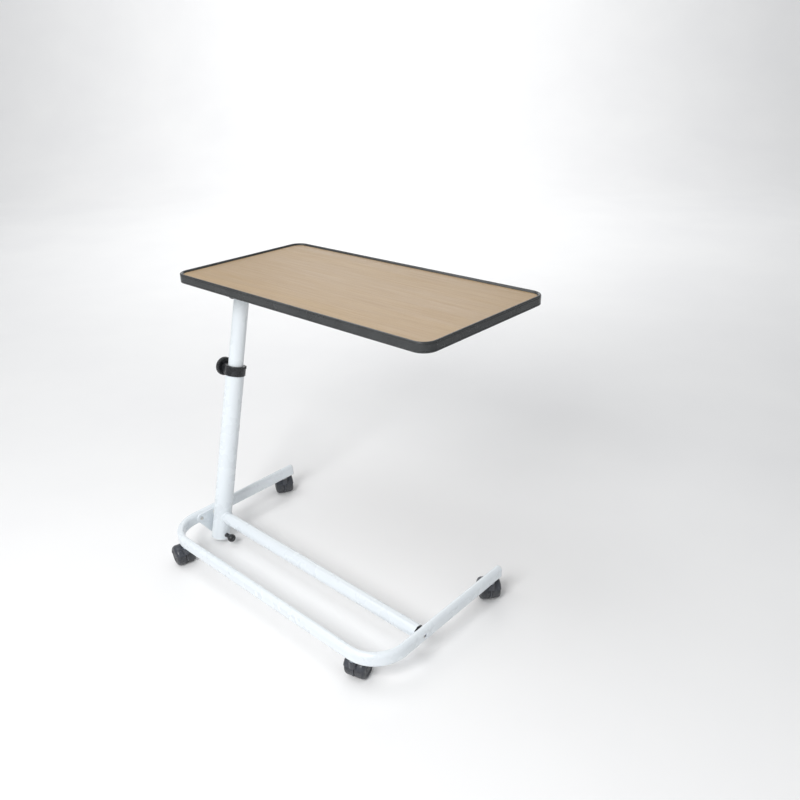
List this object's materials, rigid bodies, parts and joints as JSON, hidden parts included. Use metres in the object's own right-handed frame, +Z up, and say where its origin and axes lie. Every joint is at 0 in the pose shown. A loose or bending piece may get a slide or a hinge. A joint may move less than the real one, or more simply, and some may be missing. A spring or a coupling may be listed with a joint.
{
  "type": "overbed table",
  "caption": "Wheeled overbed table: leaning telescopic column on a U-shaped tube base, tilting rimmed wood-grain top reaching over a chair or bed.",
  "frame": {"origin": "on the floor, under the middle of the whole table at rest", "axes": "+X along the top's long edge, from the column's end to the free end; +Y from the base's front tube towards the chair or bed; +Z up"},
  "size_m": [0.8256, 0.5938, 0.705],
  "materials": {
    "white_powder_coat": "semi-gloss white powder coat",
    "white_plastic": "satin white moulded plastic",
    "black_plastic": "fine-textured black moulded plastic",
    "zinc_steel": "zinc-plated steel",
    "brass_insert": "turned brass",
    "natural_nylon": "natural nylon",
    "black_steel": "satin black powder coat",
    "wood_laminate": "light beech grain laminate, fine matt texture",
    "particle_board": "pressed wood chips",
    "backing_sheet": "plain brown balancing sheet",
    "edge_moulding": "charcoal moulded edging",
    "castor_hood": "blue-black moulded plastic",
    "castor_wheel": "blue-black nylon"
  },
  "bodies": {
    "base": {"base_frame": "white_powder_coat", "leg_end_cap_left": "white_plastic", "leg_end_cap_right": "white_plastic", "side_plate": "white_powder_coat", "side_plate_screw": "zinc_steel", "side_plate_nut": "zinc_steel", "pivot_screw_left": "zinc_steel", "pivot_screw_right": "zinc_steel", "pivot_spacer": "natural_nylon", "castor_front_left_stem": "zinc_steel", "castor_front_right_stem": "zinc_steel", "castor_rear_right_stem": "zinc_steel", "castor_rear_left_stem": "zinc_steel"},
    "column": {"outer_tube": "white_powder_coat", "cross_tube": "white_powder_coat", "cross_tube_weld": "white_powder_coat", "cross_tube_plug": "black_plastic", "pivot_sleeve": "zinc_steel", "column_foot_cap": "white_plastic", "lock_nut": "zinc_steel", "clamp_collar": "black_plastic", "clamp_nut": "brass_insert", "clamp_pad": "natural_nylon", "guide_bush": "natural_nylon"},
    "clamp_screw": {"clamp_knob": "black_plastic", "clamp_stud": "zinc_steel"},
    "lock_screw": {"lock_knob": "black_plastic", "lock_stud": "zinc_steel"},
    "mast": {"inner_tube": "white_powder_coat", "inner_tube_glide": "natural_nylon", "inner_tube_cap": "black_plastic", "tilt_sleeve": "zinc_steel"},
    "top": {"tilt_bracket": "black_steel", "support_rail_front": "black_steel", "support_rail_rear": "black_steel", "top_screws": "zinc_steel", "top_backing": "backing_sheet", "top_core": "particle_board", "top_laminate": "wood_laminate", "edge_trim": "edge_moulding", "tilt_bolt": "zinc_steel"},
    "tilt_screw": {"tilt_knob": "black_plastic"},
    "castor_front_left": {"castor_front_left_hood": "castor_hood", "castor_front_left_axle": "zinc_steel"},
    "castor_front_left_wheel_left": {"castor_front_left_wheel_left": "castor_wheel"},
    "castor_front_left_wheel_right": {"castor_front_left_wheel_right": "castor_wheel"},
    "castor_front_right": {"castor_front_right_hood": "castor_hood", "castor_front_right_axle": "zinc_steel"},
    "castor_front_right_wheel_left": {"castor_front_right_wheel_left": "castor_wheel"},
    "castor_front_right_wheel_right": {"castor_front_right_wheel_right": "castor_wheel"},
    "castor_rear_right": {"castor_rear_right_hood": "castor_hood", "castor_rear_right_axle": "zinc_steel"},
    "castor_rear_right_wheel_left": {"castor_rear_right_wheel_left": "castor_wheel"},
    "castor_rear_right_wheel_right": {"castor_rear_right_wheel_right": "castor_wheel"},
    "castor_rear_left": {"castor_rear_left_hood": "castor_hood", "castor_rear_left_axle": "zinc_steel"},
    "castor_rear_left_wheel_left": {"castor_rear_left_wheel_left": "castor_wheel"},
    "castor_rear_left_wheel_right": {"castor_rear_left_wheel_right": "castor_wheel"}
  },
  "joints": [
    {"name": "column_fold", "type": "hinge", "parent": "base", "child": "column", "pos_m": [-0.29978, -0.13709, 0.072], "axis": [-1, 0, 0], "range_deg": [0, 70]},
    {"name": "lock_knob_turn", "type": "hinge", "parent": "column", "child": "lock_screw", "pos_m": [-0.25478, -0.1487, 0.02543], "axis": [1, 0, 0], "range_deg": [0, 360]},
    {"name": "clamp_knob_turn", "type": "hinge", "parent": "column", "child": "clamp_screw", "pos_m": [-0.33978, -0.04093, 0.45769], "axis": [-1, 0, 0], "range_deg": [0, 360]},
    {"name": "height_slide", "type": "slide", "parent": "column", "child": "mast", "axis": [0, 0.2419, 0.9703], "range_m": [-0.14, 0.15]},
    {"name": "top_tilt", "type": "hinge", "parent": "mast", "child": "top", "pos_m": [-0.29978, 0.00564, 0.64447], "axis": [1, 0, 0], "range_deg": [-40, 76]},
    {"name": "tilt_knob_turn", "type": "hinge", "parent": "top", "child": "tilt_screw", "pos_m": [-0.29978, 0.00564, 0.64447], "axis": [-1, 0, 0], "range_deg": [0, 360]},
    {"name": "castor_front_left_swivel", "type": "hinge", "parent": "base", "child": "castor_front_left", "pos_m": [-0.27178, -0.27278, 0.045], "axis": [0, 0, 1], "continuous": true},
    {"name": "castor_front_left_roll_left", "type": "hinge", "parent": "castor_front_left", "child": "castor_front_left_wheel_left", "pos_m": [-0.29322, -0.26783, 0.025], "axis": [-0.225, -0.9744, 0], "continuous": true},
    {"name": "castor_front_left_roll_right", "type": "hinge", "parent": "castor_front_left", "child": "castor_front_left_wheel_right", "pos_m": [-0.29322, -0.26783, 0.025], "axis": [-0.225, -0.9744, 0], "continuous": true},
    {"name": "castor_front_right_swivel", "type": "hinge", "parent": "base", "child": "castor_front_right", "pos_m": [0.32622, -0.27278, 0.045], "axis": [0, 0, 1], "continuous": true},
    {"name": "castor_front_right_roll_left", "type": "hinge", "parent": "castor_front_right", "child": "castor_front_right_wheel_left", "pos_m": [0.32053, -0.25153, 0.025], "axis": [-0.9659, -0.2588, 0], "continuous": true},
    {"name": "castor_front_right_roll_right", "type": "hinge", "parent": "castor_front_right", "child": "castor_front_right_wheel_right", "pos_m": [0.32053, -0.25153, 0.025], "axis": [-0.9659, -0.2588, 0], "continuous": true},
    {"name": "castor_rear_right_swivel", "type": "hinge", "parent": "base", "child": "castor_rear_right", "pos_m": [0.39722, 0.10991, 0.045], "axis": [0, 0, 1], "continuous": true},
    {"name": "castor_rear_right_roll_left", "type": "hinge", "parent": "castor_rear_right", "child": "castor_rear_right_wheel_left", "pos_m": [0.38037, 0.12405, 0.025], "axis": [-0.6428, -0.766, 0], "continuous": true},
    {"name": "castor_rear_right_roll_right", "type": "hinge", "parent": "castor_rear_right", "child": "castor_rear_right_wheel_right", "pos_m": [0.38037, 0.12405, 0.025], "axis": [-0.6428, -0.766, 0], "continuous": true},
    {"name": "castor_rear_left_swivel", "type": "hinge", "parent": "base", "child": "castor_rear_left", "pos_m": [-0.34278, 0.10991, 0.045], "axis": [0, 0, 1], "continuous": true},
    {"name": "castor_rear_left_roll_left", "type": "hinge", "parent": "castor_rear_left", "child": "castor_rear_left_wheel_left", "pos_m": [-0.36183, 0.12091, 0.025], "axis": [-0.5, -0.866, 0], "continuous": true},
    {"name": "castor_rear_left_roll_right", "type": "hinge", "parent": "castor_rear_left", "child": "castor_rear_left_wheel_right", "pos_m": [-0.36183, 0.12091, 0.025], "axis": [-0.5, -0.866, 0], "continuous": true}
  ]
}
